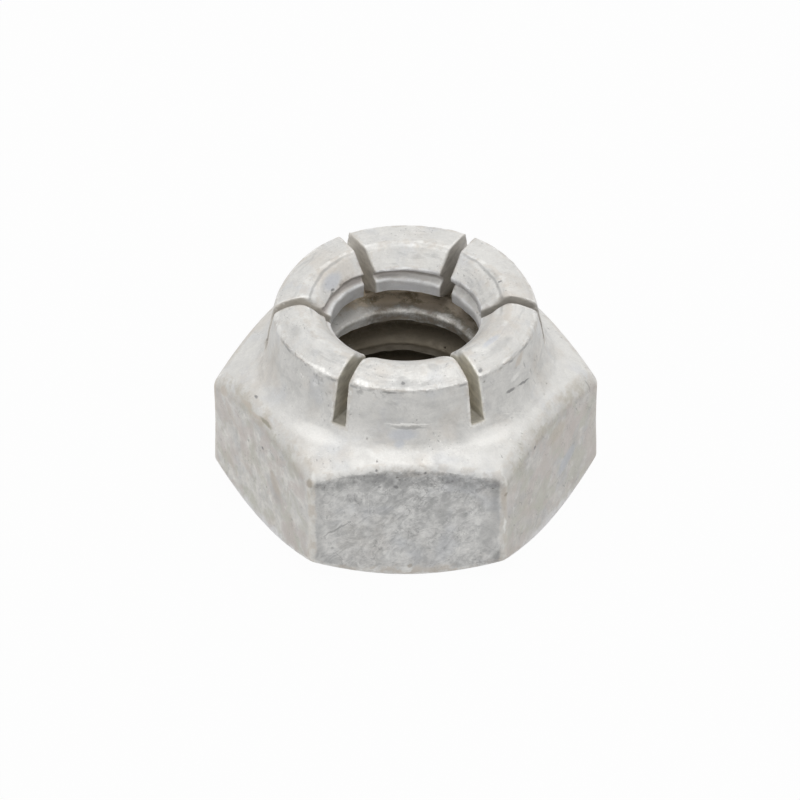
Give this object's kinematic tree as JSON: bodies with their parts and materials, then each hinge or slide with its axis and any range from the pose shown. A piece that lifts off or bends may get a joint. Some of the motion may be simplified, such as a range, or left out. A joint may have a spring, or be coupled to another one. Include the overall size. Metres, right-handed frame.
{
  "type": "flex lock nut",
  "caption": "One-piece steel hexagon lock nut with a conical shoulder and a slotted collar whose bent-in segments grip the bolt.",
  "frame": {"origin": "on the hole's axis, at the bearing face", "axes": "+Z along the hole from the bearing face to the collar; a flat of the hexagon faces -Y; corners and slots lie at +X and every 60 degrees from it"},
  "size_m": [0.0128, 0.0112, 0.0072],
  "materials": {
    "plated_steel": "matte, dull grey-white plating with scuffs, pits and faint brown stains"
  },
  "bodies": {
    "root": {"lock_nut": "plated_steel"}
  },
  "joints": []
}
